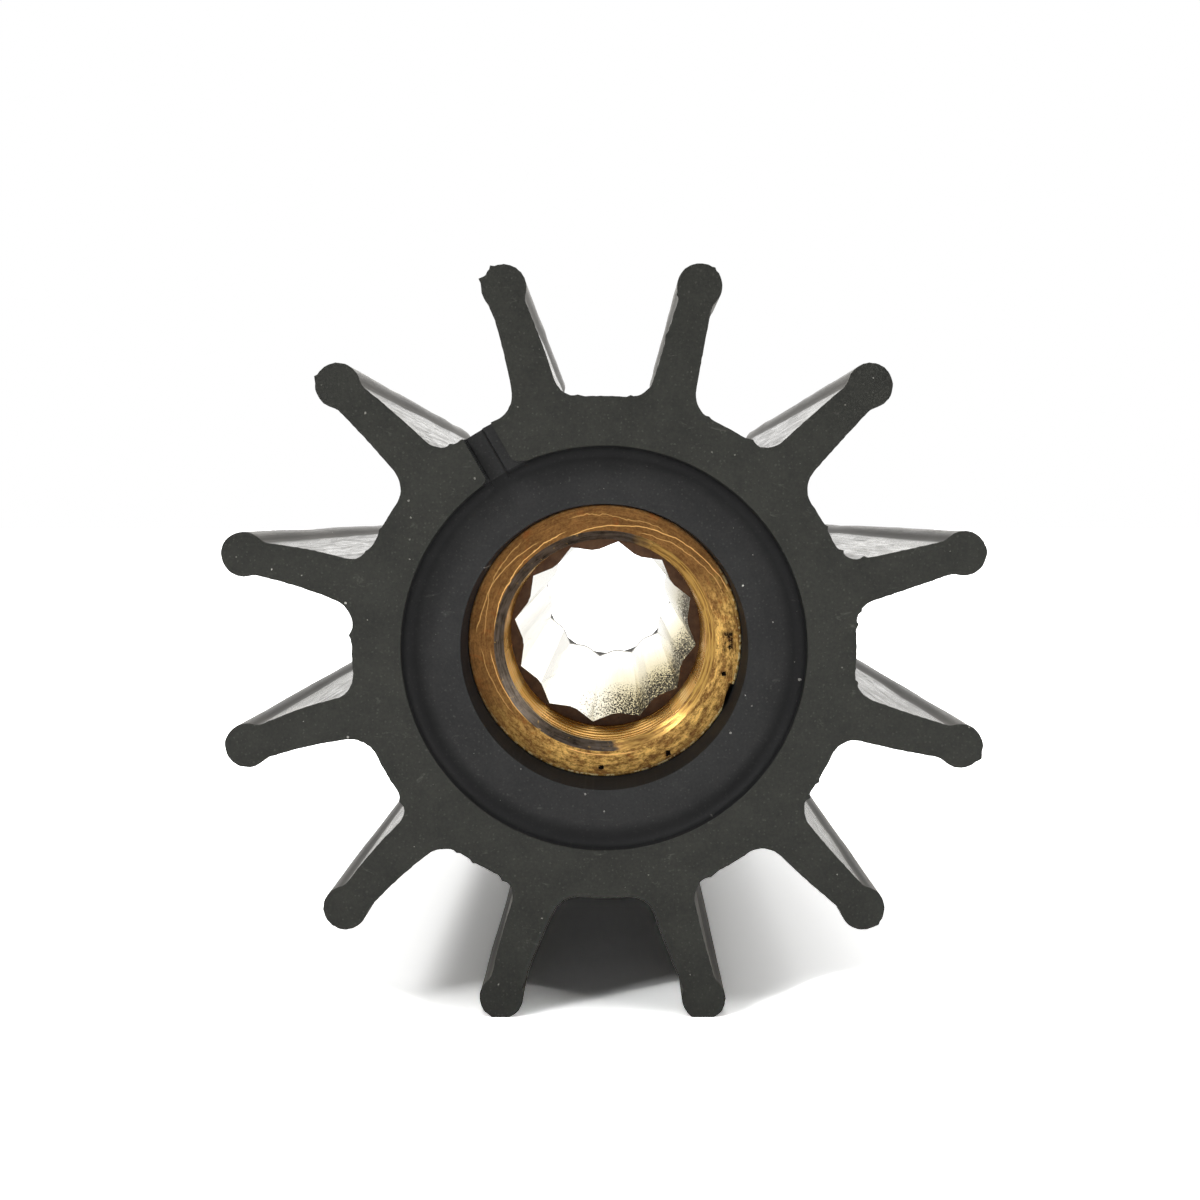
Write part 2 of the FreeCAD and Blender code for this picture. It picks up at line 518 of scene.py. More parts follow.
def bowVanes(wheel, values):
    # the soft vanes aren't quite straight: their webs bow and a few tips sway
    shape = bmesh.from_edit_mesh(wheel.data)
    for v in shape.verts:
        r = radiusOf(v.co)
        if r < values["bowFrom"]:
            continue
        turn = math.degrees(math.atan2(v.co.z, v.co.x)) % 360
        angle = 15 + 30 * (int(turn // 30) % 12)
        a = math.radians(angle)
        side = Vector((-math.sin(a), 0, math.cos(a)))
        up = max(0.0, min(1.0, (r - values["bowFrom"]) / values["bowReach"]))
        move = values["webBow"].get(angle, 0.0) * math.sin(math.pi * up)
        move += values["tipSway"].get(angle, 0.0) * up * up
        v.co += side * mm(move)
    bmesh.update_edit_mesh(wheel.data)


def markRim(wheel, values):
    # pulls the near rim out into flash or in into nicks at each noted place
    near = mm(values["nearEnd"])
    for x, z, reach, width in rimMarks:
        shape = bmesh.from_edit_mesh(wheel.data)
        spot = Vector((mm(x), near, mm(z)))
        best = min((v for v in shape.verts if abs(v.co.y - near) < 1e-6), key=lambda v: (v.co - spot).length)
        sideways = [f.normal for f in best.link_faces if abs(f.normal.y) < 0.5]
        out = sum(sideways, Vector()).normalized()
        pick(wheel, "VERT", lambda v: v.index == best.index)
        bpy.ops.transform.translate(
            value=tuple(out * mm(reach)), use_proportional_edit=True,
            proportional_edit_falloff="SHARP", proportional_size=mm(width),
        )
    # fine raggedness all along the rim
    pick(wheel, "VERT", lambda v: abs(v.co.y - near) < 1e-6)
    before = {v.index: v.co.y for v in bmesh.from_edit_mesh(wheel.data).verts if v.select}
    bpy.ops.transform.vertex_random(offset=mm(values["rimRagged"]), uniform=1.0, normal=0.0, seed=7)
    shape = bmesh.from_edit_mesh(wheel.data)
    shape.verts.ensure_lookup_table()
    for index, y in before.items():
        shape.verts[index].co.y = y
    bmesh.update_edit_mesh(wheel.data)


def waveSides(wheel, values):
    toObject()
    group = wheel.vertex_groups.new(name="sides")
    calm, growth = values["waveFrom"]
    for v in wheel.data.vertices:
        fromNear = v.co.y * 1000 - values["nearEnd"]
        fromFar = values["farEnd"] - v.co.y * 1000
        weight = min(1.0, max(0.0, (fromNear - calm) / growth)) * min(1.0, max(0.0, fromFar / 2))
        if weight > 0 and v.co.z * 1000 >= values["calmBelow"]:
            group.add([v.index], weight, "REPLACE")
    clouds = bpy.data.textures.new("rubberWaves", "CLOUDS")
    clouds.noise_scale = values["waveSize"]
    clouds.noise_depth = 1
    wave = wheel.modifiers.new("wave", "DISPLACE")
    wave.texture = clouds
    wave.texture_coords = "LOCAL"
    wave.vertex_group = "sides"
    wave.strength = mm(values["waveDepth"]) * 2
    wave.mid_level = 0.5
    applyModifier(wheel, wave)
    wheel.vertex_groups.clear()


def softenRims(wheel, values):
    toEdit(wheel)
    near, far = values["nearEnd"], values["farEnd"]
    pick(wheel, "EDGE", lambda edge: atY(edge, near) or atY(edge, far))
    bpy.ops.mesh.bevel(offset=mm(values["rimSoftness"]), segments=2, profile=0.5, clamp_overlap=False)
    pickAll()
    bpy.ops.mesh.bisect(
        plane_co=(0, 0, mm(values["footLevel"])), plane_no=(0, 0, -1), use_fill=True, clear_outer=True,
        threshold=mm(0.0001),
    )
    toObject()


def recessCutter(end, inward, values):
    # round cutter with a rounded bottom, flared at its mouth to soften the recess's rim
    radius, floor = values["recessRadius"], end + inward * values["recessDepth"]
    outside = end - inward * 2
    bar = shaftBar("recessCut", radius, min(outside, floor), max(outside, floor), 180)
    toEdit(bar)
    pick(bar, "EDGE", lambda edge: atY(edge, floor))
    bpy.ops.mesh.bevel(offset=mm(values["recessRound"]), segments=7, profile=0.5)
    sliceAt(end + inward * values["recessEdge"])
    pick(bar, "VERT", lambda v: (v.co.y * 1000 - end) * inward < 0.1)
    widen(radius, values["recessEdge"] + 2)
    toObject()
    return bar


def grooveCutters(values):
    # shallow part with rounded corners at the recess, then the narrower deep part
    half, edge = values["grooveHalf"], values["recessRadius"]
    outer, inner = values["hubRadius"] + 2, edge - 2.3
    bend, smallBend = values["grooveBends"]
    bendStart, bendEnd = Vector((edge + bend, -half)), Vector((edge, -half - bend))
    smallStart, smallEnd = Vector((edge, half + smallBend)), Vector((edge + smallBend, half))
    plan = startPoint("grooveCut", Vector((outer, -half)))
    drawPath((Vector((outer, -half)), bendStart))
    drawArc(Vector((edge + bend, -half - bend)), bendStart, bendEnd, 5)
    drawPath((
        bendEnd, Vector((edge - 0.3, -half - bend)), Vector((inner, -half - bend)),
        Vector((inner, half + smallBend)), Vector((edge - 0.2, half + smallBend)), smallStart,
    ))
    drawArc(Vector((edge + smallBend, half + smallBend)), smallStart, smallEnd, 4)
    drawPath((smallEnd, Vector((outer, half))))
    raisePlan(plan, values["nearEnd"], values["shelfDrop"])
    turnPiece(plan, values["grooveAngle"])

    bpy.ops.mesh.primitive_cube_add(size=1)
    deep = bpy.context.object
    deep.name = "grooveDeepCut"
    left, right = half - values["grooveDraft"], values["shelfWidth"] - half
    top, floor = values["nearEnd"] + 0.5, values["nearEnd"] + values["recessDepth"]
    inner = edge - values["recessRound"] - 0.05
    deep.scale = (mm(outer - inner), mm(floor - top), mm(left - right))
    deep.location = (mm((outer + inner) / 2), mm((floor + top) / 2), mm((left + right) / 2))
    bpy.ops.object.transform_apply(location=True, rotation=True, scale=True)
    toEdit(deep)
    # the shelf's side slopes
    pick(deep, "VERT", lambda v: v.co.y * 1000 > floor - 0.01 and v.co.z * 1000 < right + 0.01)
    bpy.ops.transform.translate(value=(0, 0, mm(values["shelfSlope"])))
    pick(deep, "EDGE", lambda edge: atY(edge, floor) and abs(edge.verts[0].co.z - edge.verts[1].co.z) < 1e-6)
    bpy.ops.mesh.bevel(offset=mm(values["grooveCorner"]), segments=3, profile=0.5)
    toObject()
    turnPiece(deep, values["grooveAngle"])
    return plan, deep


def closeSliver(wheel, values):
    # draws together the hair's width that is left where the groove's side meets the soft rim
    corner = Vector(values["sliver"]) / 1000
    toEdit(wheel)
    pick(wheel, "VERT", lambda v: (v.co - corner).length < mm(values["sliverReach"]))
    bpy.ops.mesh.merge(type="CENTER")
    toObject()


def buildWheel(values):
    wheel = joinVanes(values)
    extrudeWheel(wheel, values)
    bowVanes(wheel, values)
    markRim(wheel, values)
    waveSides(wheel, values)
    softenRims(wheel, values)
    cutAway(wheel, recessCutter(values["nearEnd"], 1, values))
    cutAway(wheel, recessCutter(values["farEnd"], -1, values))
    for cutter in grooveCutters(values):
        cutAway(wheel, cutter)
    closeSliver(wheel, values)
    cutAway(wheel, throughBar("boreCut", values["boreRadius"]))
    finishPiece(wheel)
    print("wheel modelled,", len(wheel.data.polygons), "faces")
    return wheel


wheel = buildWheel(rubberWheel)


# bronze insert
bronzeInsert = {
    "radius": 17.7,
    "nearEnd": -36.45,
    "farEnd": 42.45,
    "rimChamfer": 0.3,
    "mouthRadius": 13.2,
    "mouthChamfer": 1.15,
    "toothFace": -26.25,
    "toolMarks": (-27.4, -28.9, -30.4, -31.9, -33.4, -34.6),  # fine turned grooves
    "toolMarkDepth": 0.25,
    "toolMarkHalf": 0.35,
    "starRadius": 12.78,
    "starTurn": 22.0,
    "landRadius": 11.6,
    "reliefRadius": 12.9,
    "reliefStart": 36.75,
    "notchAngle": 341.5,
    "notchTurn": 12.8,  # degrees until it runs out
    "notchRadii": (16.7, 18.8),
    "notchDepth": 3,
    "pits": ((-6.95, -16.35, 0.28), (-0.45, -16.5, 0.38), (8.2, -14.6, 0.42), (15.4, -4.2, 0.35)),
}


def mouthCutter(values):
    near, radius = values["nearEnd"], values["mouthRadius"]
    bar = shaftBar("mouthCut", radius, near - 2, values["toothFace"])
    toEdit(bar)
    sliceAt(near + values["mouthChamfer"])
    pick(bar, "VERT", lambda v: v.co.y * 1000 < near + 0.1)
    widen(radius, values["mouthChamfer"] + 2)
    half = values["toolMarkHalf"]
    for mark in values["toolMarks"]:
        for y in (mark - half, mark, mark + half):
            sliceAt(y)
        pick(bar, "VERT", lambda v: abs(v.co.y * 1000 - mark) < 0.01)
        widen(radius, values["toolMarkDepth"])
    toObject()
    return bar


def starCutter(values):
    # a 24 sided bar with every second corner pulled in: two hexagons, one turned
    bar = shaftBar("starCut", values["starRadius"], values["nearEnd"] - 3, values["farEnd"] + 3, 24)
    toEdit(bar)
    inward = math.cos(math.radians(30)) / math.cos(math.radians(15))
    pick(bar, "VERT", lambda v: round(math.degrees(math.atan2(v.co.z, v.co.x)) / 15) % 2 == 1)
    bpy.ops.transform.resize(value=(inward, 1, inward))
    toObject()
    turnPiece(bar, values["starTurn"])
    return bar


def notchCutter(values):
    # the break in the rim: deep at one end, running out along the edge
    a, turn = values["notchAngle"], values["notchTurn"]
    inner, outer = values["notchRadii"]
    corners = [
        swung(inner, 0, a), swung(outer, 0, a),
        swung(outer, 0, a - turn), swung(values["radius"], 0, a - turn),
    ]
    cut = startPoint("rimBreak", corners[0])
    drawPath(corners)
    drawLine(corners[3], corners[0] + swung(0.25, -0.5, a), 3)
    raisePlan(cut, values["nearEnd"], values["notchDepth"])
    return cut


def pitCutter(x, z, size, y, seed):
    bpy.ops.mesh.primitive_ico_sphere_add(subdivisions=2, radius=mm(size), location=(mm(x), mm(y), mm(z)))
    pit = bpy.context.object
    pit.name = "pitCut"
    bpy.ops.object.transform_apply(location=True, rotation=True, scale=True)
    toEdit(pit)
    pickAll()
    bpy.ops.transform.vertex_random(offset=mm(size * 0.35), uniform=1.0, normal=0.0, seed=seed)
    toObject()
    return pit


def buildInsert(values):
    insert = shaftBar("splineInsert", values["radius"], values["nearEnd"], values["farEnd"])
    insert.data.name = "splineInsert"
    toEdit(insert)
    pick(insert, "EDGE", lambda edge: atY(edge, values["nearEnd"]) or atY(edge, values["farEnd"]))
    bpy.ops.mesh.bevel(offset=mm(values["rimChamfer"]), segments=2, profile=0.5)
    toObject()
    cutAway(insert, mouthCutter(values))
    cutAway(insert, starCutter(values))
    cutAway(insert, throughBar("landCut", values["landRadius"]))
    relief = shaftBar("reliefCut", values["reliefRadius"], values["reliefStart"], values["farEnd"] + 3)
    cutAway(insert, relief)
    cutAway(insert, notchCutter(values))
    for seed, (x, z, size) in enumerate(values["pits"]):
        cutAway(insert, pitCutter(x, z, size, values["nearEnd"] - size * 0.1, seed))
    finishPiece(insert)
    print("insert modelled,", len(insert.data.polygons), "faces")
    return insert


insert = buildInsert(bronzeInsert)


# more node helpers, for the looks
def newLook(name):
    look = bpy.data.materials.new(name)
    look.use_nodes = True
    tree = look.node_tree
    place = tree.nodes.new("ShaderNodeTexCoord")
    return look, tree, tree.nodes["Principled BSDF"], place.outputs["Object"]


def noiseOf(tree, place, size, detail=4, roughness=0.55, stretch=(1, 1, 1), offset=0.0, warp=0.0):
    # size of the grain in mm
    moved = addNode(tree, "ShaderNodeMapping", {
        "Vector": place,
        "Location": (offset, offset * 0.7, -offset),
        "Scale": [1000 / size * s for s in stretch],
    })
    return addNode(tree, "ShaderNodeTexNoise", {
        "Vector": moved.outputs[0], "Scale": 1, "Detail": detail, "Roughness": roughness, "Distortion": warp,
    }).outputs["Fac"]


def fade(tree, value, low, high):
    # 0 at the first number and 1 at the second, whichever is the larger
    ends = (low, high, 0, 1) if low <= high else (high, low, 1, 0)
    return addNode(tree, "ShaderNodeMapRange", {
        "Value": value, "From Min": ends[0], "From Max": ends[1], "To Min": ends[2], "To Max": ends[3],
    }, interpolation_type="SMOOTHSTEP").outputs[0]


def blend(tree, amount, a, b):
    return addNode(tree, "ShaderNodeMix", {0: amount, 6: a, 7: b}, data_type="RGBA").outputs[2]


def specksOf(tree, place, spacing, size, share, offset=0.0, flat=False):
    # scattered uneven dots: spacing and size in mm, share of the cells that hold one
    moved = addNode(tree, "ShaderNodeMapping", {
        "Vector": place,
        "Location": (offset, offset * 1.3, offset * 0.6),
        "Rotation": (math.radians(90) if flat else 0, 0, 0),
        "Scale": [1000 / spacing] * 3,
    }).outputs[0]
    bend = addNode(tree, "ShaderNodeTexNoise", {"Vector": moved, "Scale": spacing / size * 0.5, "Detail": 1})
    shift = addNode(tree, "ShaderNodeVectorMath", {
        0: bend.outputs["Color"], 1: [size / spacing * 2.2] * 3, 2: moved,
    }, operation="MULTIPLY_ADD")
    cells = addNode(
        tree, "ShaderNodeTexVoronoi", {"Vector": shift.outputs[0], "Scale": 1},
        voronoi_dimensions="2D" if flat else "3D",
    )
    split = addNode(tree, "ShaderNodeSeparateColor", {0: cells.outputs["Color"]})
    chosen = sums(tree, "LESS_THAN", split.outputs[0], share)
    reach = scaled(tree, split.outputs[1], 1.1 * size / spacing, 0.3 * size / spacing)
    inside = sums(tree, "LESS_THAN", cells.outputs["Distance"], reach)
    return times(tree, times(tree, inside, chosen), scaled(tree, split.outputs[2], 0.7, 0.3))


def radiusMm(tree, place):
    flat = addNode(tree, "ShaderNodeVectorMath", {0: place, 1: (1000, 0, 1000)}, operation="MULTIPLY")
    return addNode(tree, "ShaderNodeVectorMath", {0: flat.outputs[0]}, operation="LENGTH").outputs["Value"]


def depthMm(tree, place, gain=1000):
    # along the shaft, in mm unless another gain is given
    return times(tree, addNode(tree, "ShaderNodeSeparateXYZ", {0: place}).outputs["Y"], gain)


def angleOf(tree, place):
    # turn about the shaft in degrees, -180 to 180, from +X towards +Z
    split = addNode(tree, "ShaderNodeSeparateXYZ", {0: place})
    return times(tree, sums(tree, "ARCTAN2", split.outputs["Z"], split.outputs["X"]), 180 / math.pi)


def ringNoise(tree, radius, turn, along, across, detail=5, roughness=0.65, offset=0.0):
    # noise drawn out round the shaft: size along and across in mm
    joined = addNode(tree, "ShaderNodeCombineXYZ", {
        "X": times(tree, turn, 0.28 / along), "Y": times(tree, radius, 1 / across), "Z": offset,
    })
    return addNode(tree, "ShaderNodeTexNoise", {
        "Vector": joined.outputs[0], "Scale": 1, "Detail": detail, "Roughness": roughness,
    }).outputs["Fac"]


def bumpFrom(tree, shader, height, strength, depth):
    bump = addNode(tree, "ShaderNodeBump", {"Strength": strength, "Distance": mm(depth), "Height": height})
    fill(tree, shader, {"Normal": bump.outputs[0]})


# rubber looks
rubberFinish = {
    "face": {"dark": (0.0085, 0.009, 0.0062, 1), "light": (0.0265, 0.027, 0.0208, 1), "gloss": (0.54, 0.74),
             "dust": (0.50, 0.48, 0.42, 1), "fleck": (0.85, 0.82, 0.75, 1)},
    "recess": {"dark": (0.006, 0.006, 0.0063, 1), "light": (0.0195, 0.0195, 0.019, 1), "gloss": (0.54, 0.72),
               "dust": (0.46, 0.44, 0.40, 1), "fleck": (0.85, 0.82, 0.75, 1),
               "rim": (0.0035, 0.0035, 0.0042, 1), "bore": (0.006, 0.0085, 0.012, 1)},
    "side": {"dark": (0.0145, 0.0145, 0.0135, 1), "film": (0.70, 0.64, 0.52, 1), "bloom": 0.055,
             "gloss": (0.19, 0.46), "dust": (0.85, 0.82, 0.75, 1), "mirror": (1.0, 0.94, 0.80, 1),
             "sheen": (1.0, 0.91, 0.76, 1), "sheenWeight": 0.16, "sheenRough": 0.35},
}


def rubberGrain(tree, shader, place, values):
    # moulded grain, paler scuffs and white dust, shared by both end faces
    fine = noiseOf(tree, place, 0.32, 3, 0.65, offset=2)
    tone = fade(tree, noiseOf(tree, place, 5.5, 6, 0.62), 0.32, 0.70)
    mixed = scaled(tree, fade(tree, fine, 0.30, 0.72), 0.55, times(tree, tone, 0.45))
    colour = blend(tree, mixed, values["dark"], values["light"])
    scuff = noiseOf(tree, place, 2.6, 6, 0.72, stretch=(1.0, 1.0, 2.0), offset=8, warp=0.8)
    colour = blend(tree, times(tree, fade(tree, scuff, 0.60, 0.78), 0.10), colour, values["dust"])
    small = specksOf(tree, place, 0.50, 0.10, 0.42, 1.0, flat=True)
    middle = specksOf(tree, place, 2.6, 0.09, 0.12, 3.0, flat=True)
    large = specksOf(tree, place, 8.0, 0.12, 0.22, 5.0, flat=True)
    colour = blend(tree, times(tree, small, 0.038), colour, values["dust"])
    colour = blend(tree, times(tree, middle, 0.55), colour, values["dust"])
    colour = blend(tree, large, colour, values["fleck"])
    low, high = values["gloss"]
    fill(tree, shader, {"Roughness": scaled(tree, fine, high - low, low), "Specular IOR Level": 0.4})
    height = scaled(tree, noiseOf(tree, place, 6.0, 3, 0.5, offset=6), 3.0, fine)
    bumpFrom(tree, shader, height, 0.4, 0.035)
    return colour


def rubberFaceLook(name, values):
    look, tree, shader, place = newLook(name)
    fill(tree, shader, {"Base Color": rubberGrain(tree, shader, place, values)})
    return look


def rubberRecessLook(name, values):
    # painted shade: darker towards the rim of the recess, most on its upper left, and down the bore
    look, tree, shader, place = newLook(name)
    colour = rubberGrain(tree, shader, place, values)
    radius = radiusMm(tree, place)
    inside = fade(tree, radius, 24.75, 24.6)
    # painted shade along the recess's rim, wider on its upper left
    edge = times(tree, fade(tree, radius, 21.6, 23.6), inside)
    upperLeftShade = fade(tree, apart(tree, angleOf(tree, place), 125), 95, 30)
    wide = times(tree, times(tree, fade(tree, radius, 20.0, 23.0), inside), times(tree, upperLeftShade, 0.35))
    edge = most(tree, times(tree, edge, 0.62), wide)
    colour = blend(tree, edge, colour, values["rim"])
    # painted shade down the bore, in the gap before the insert
    bore = fade(tree, radius, 17.76, 17.68)
    colour = blend(tree, times(tree, bore, 0.6), colour, values["bore"])
    gloss = scaled(tree, most(tree, edge, bore), -0.25, 0.4)
    fill(tree, shader, {"Base Color": colour, "Specular IOR Level": gloss})
    return look


def rubberSideLook(name, values):
    # black rubber that mirrors its white surroundings at a low angle,
    # scored lengthwise, with a thin dusty bloom that is thinned as painted shade on the feet and between them
    look, tree, shader, place = newLook(name)
    radius = radiusMm(tree, place)
    streaks = fade(tree, noiseOf(tree, place, 0.75, 5, 0.68, stretch=(1, 0.05, 1), offset=1), 0.34, 0.62)
    slanted = noiseOf(tree, place, 1.1, 5, 0.7, stretch=(1, 0.16, 1), offset=12, warp=1.2)
    slanted = fade(tree, slanted, 0.36, 0.60)
    patch = fade(tree, noiseOf(tree, place, 7, 5, 0.62, stretch=(1, 0.4, 1), offset=5), 0.30, 0.60)
    speck = fade(tree, noiseOf(tree, place, 0.24, 3, 0.7, stretch=(1, 0.22, 1), offset=15), 0.36, 0.64)
    shine = scaled(tree, slanted, 0.38, times(tree, streaks, 0.42))
    shine = scaled(tree, speck, 0.16, shine)
    shine = scaled(tree, patch, 0.24, shine)
    # painted shade: the bloom is weaker on the two vanes it stands on and left off in the tunnel between
    # them; the gloss follows the same mask
    fromBottom = apart(tree, angleOf(tree, place), -90)
    inner = times(tree, fade(tree, fromBottom, 15.8, 16.6), 0.35)
    clearOfFootShade = scaled(tree, fade(tree, fromBottom, 20.6, 24.0), 0.65, inner)
    web = times(tree, fade(tree, radius, 42.7, 41.9), clearOfFootShade)
    tip = times(tree, fade(tree, radius, 43.3, 46.6), clearOfFootShade)
    tipShine = scaled(tree, streaks, 0.40, scaled(tree, speck, 0.35, 0.05))
    shine = most(tree, times(tree, shine, web), times(tree, tip, tipShine))
    bloom = times(tree, scaled(tree, shine, 0.5, times(tree, patch, 0.5)), values["bloom"])
    colour = blend(tree, bloom, values["dark"], values["film"])
    scratch = noiseOf(tree, place, 0.40, 3, 0.7, stretch=(1, 0.02, 1), offset=9)
    scratch = times(tree, fade(tree, scratch, 0.62, 0.70), web)
    colour = blend(tree, times(tree, scratch, 0.05), colour, values["dust"])
    specks = specksOf(tree, place, 3.0, 0.10, 0.15, 4.0)
    colour = blend(tree, times(tree, specks, 0.6), colour, values["dust"])
    low, high = values["gloss"]
    fill(tree, shader, {
        "Base Color": colour,
        "Roughness": scaled(tree, shine, low - high, high),
        "Specular IOR Level": scaled(tree, shine, 1.0, 0.05),
        "Specular Tint": values["mirror"],
        "Sheen Weight": values["sheenWeight"],
        "Sheen Roughness": values["sheenRough"],
        "Sheen Tint": values["sheen"],
    })
    bumpFrom(tree, shader, scaled(tree, scratch, -0.6, streaks), 0.25, 0.03)
    return look


# bronze looks
bronzeFinish = {
    "patina": (0.33, 0.160, 0.050, 1),
    "patinaDeep": (0.11, 0.052, 0.019, 1),
    "patinaGold": (0.88, 0.54, 0.15, 1),
    "lines": (0.97, 0.56, 0.18, 1),
    "rust": (0.30, 0.085, 0.022, 1),
    "stain": (0.016, 0.011, 0.007, 1),
    "tarnish": (0.185, 0.152, 0.126, 1),
    "polish": (0.95, 0.58, 0.16, 1),
    "polishEdge": (1.0, 0.78, 0.42, 1),
    "glint": (1.0, 0.60, 0.15, 1),
    "glintPale": (1.0, 0.84, 0.44, 1),
    "wall": (0.66, 0.36, 0.11, 1),
    "wallLight": (0.99, 0.66, 0.25, 1),
    "tooth": (0.062, 0.026, 0.010, 1),
    "toothLight": (0.10, 0.050, 0.022, 1),
    "spline": (0.99, 0.98, 0.94, 1),
    "drawn": (0.62, 0.53, 0.36, 1),
    "khaki": (0.70, 0.62, 0.39, 1),
    "grit": (0.075, 0.058, 0.03, 1),
    "speckle": (0.045, 0.036, 0.020, 1),
    "toolStep": 1.5,  # mm between the tool marks of the mouth
    "firstTool": 27.4,
}
# dried water lines on the ring: start and end turn in degrees, radius at each in mm, waviness, strength
waterLines = (
    (20, 121, 17.3, 13.9, 0.7, 0.9),
    (108, 182, 15.2, 14.0, 1.3, 0.95),
    (122, 178, 15.4, 16.7, 0.8, 0.6),
    (60, 108, 16.2, 16.5, 1.6, 0.4),
    (128, 179, 16.9, 15.4, 1.1, 0.45),
    (-177, -122, 14.8, 14.1, 0.4, 0.8),
    (-179, -140, 16.0, 15.0, 0.8, 0.4),
    (20, 75, 16.6, 14.6, 1.0, 0.5),
    (-112, -72, 14.72, 14.85, 0.1, 1.0),
)
# bright lines on the mouth's chamfer, drawn in the same way: painted highlights
chamferGlintLines = (
    (-55, 62, 14.05, 14.0, 0.25, 1.0),
    (-70, 30, 13.45, 13.7, 0.4, 1.0),
    (-30, 66, 13.7, 13.5, 0.5, 0.9),
)


def wavyLine(tree, radius, turn, wobble, values):
    fromTurn, toTurn, startRadius, endRadius, waviness, strength = values
    path = addNode(tree, "ShaderNodeMapRange", {
        "Value": turn, "From Min": fromTurn, "From Max": toTurn,
        "To Min": startRadius - waviness * 0.5, "To Max": endRadius - waviness * 0.5,
    })
    track = scaled(tree, wobble, waviness, path.outputs[0])
    away = apart(tree, radius, track)
    start = fade(tree, turn, fromTurn, fromTurn + 6)
    end = fade(tree, turn, toTurn, toTurn - 6)
    line = times(tree, fade(tree, away, 0.09, 0.025), times(tree, start, end))
    return times(tree, line, strength)


def bronzeRingLook(name, values):
    # aged end face: brown patina, gold where rubbed, wavy dried water lines
    look, tree, shader, place = newLook(name)
    radius, turn = radiusMm(tree, place), angleOf(tree, place)
    cloud = fade(tree, noiseOf(tree, place, 2.6, 7, 0.7, offset=1), 0.33, 0.68)
    fine = fade(tree, noiseOf(tree, place, 0.30, 3, 0.7, offset=31), 0.34, 0.66)
    turned = fade(tree, ringNoise(tree, radius, turn, 5.0, 0.22), 0.36, 0.64)
    mottle = sums(tree, "ADD", times(tree, cloud, 0.40), times(tree, fine, 0.28))
    mottle = sums(tree, "ADD", mottle, times(tree, turned, 0.34))
    colour = blend(tree, mottle, values["patinaDeep"], values["patina"])
    lower = times(tree, fade(tree, turn, 42, 6), fade(tree, turn, -165, -110))
    worn = times(tree, ringNoise(tree, radius, turn, 3.0, 0.8, 7, 0.75, offset=7), 0.7)
    worn = sums(tree, "ADD", worn, times(tree, noiseOf(tree, place, 0.7, 5, 0.8, offset=7), 0.3))
    brightPatches = times(tree, lower, fade(tree, worn, 0.41, 0.60))
    colour = blend(tree, times(tree, brightPatches, 0.9), colour, values["patinaGold"])
    crust = fade(tree, ringNoise(tree, radius, turn, 0.7, 0.35, 4, 0.75, offset=11), 0.50, 0.60)
    crust = times(tree, crust, scaled(tree, lower, 0.12, 0.55))
    colour = blend(tree, crust, colour, values["patinaDeep"])
    reddish = fade(tree, noiseOf(tree, place, 2.2, 5, 0.7, offset=21), 0.56, 0.70)
    colour = blend(tree, times(tree, reddish, 0.55), colour, values["rust"])
    wobble = noiseOf(tree, place, 3.4, 3, 0.6, offset=3)
    for line in waterLines:
        colour = blend(tree, wavyLine(tree, radius, turn, wobble, line), colour, values["lines"])
    shadow = times(tree, fade(tree, radius, 16.9, 17.25), times(tree, lower, 0.15))
    colour = blend(tree, shadow, colour, values["patinaDeep"])
    depth = depthMm(tree, place)
    # a polished burr along the rim, drawn in the pale glint colour on the lower half: partly the burr's own
    # polish, partly painted highlight
    burrAndHighlight = times(tree, fade(tree, radius, 17.32, 17.42), fade(tree, depth, -35.0, -36.0))
    dashes = fade(tree, noiseOf(tree, place, 0.5, 2, 0.5, offset=13), 0.48, 0.56)
    burrAndHighlight = times(tree, burrAndHighlight, scaled(tree, lower, 0.75, 0.05))
    colour = blend(tree, times(tree, burrAndHighlight, dashes), colour, values["glintPale"])
    dirt = fade(tree, noiseOf(tree, place, 0.8, 6, 0.8, offset=15), 0.60, 0.66)
    dirt = times(tree, dirt, scaled(tree, lower, 0.5, 0.25))
    offSpot = apart(tree, radius, 16.0)
    spot = times(tree, fade(tree, sums(tree, "ABSOLUTE", turn), 5.5, 3.5), fade(tree, offSpot, 0.8, 0.4))
    spot = times(tree, spot, fade(tree, noiseOf(tree, place, 0.6, 4, 0.8, offset=25), 0.46, 0.52))
    dirt = most(tree, dirt, spot)
    sunk = times(tree, fade(tree, depth, -36.42, -36.36), fade(tree, depth, -30, -34))
    pits = times(tree, sunk, fade(tree, radius, 17.3, 17.2))
    dirt = most(tree, dirt, pits)
    colour = blend(tree, dirt, colour, values["stain"])
    fill(tree, shader, {
        "Base Color": colour,
        "Specular Tint": colour,
        "Metallic": 0.5,
        "Roughness": scaled(tree, brightPatches, -0.14, 0.44),
    })
    bumpFrom(tree, shader, sums(tree, "SUBTRACT", mottle, dirt), 0.45, 0.03)
    return look


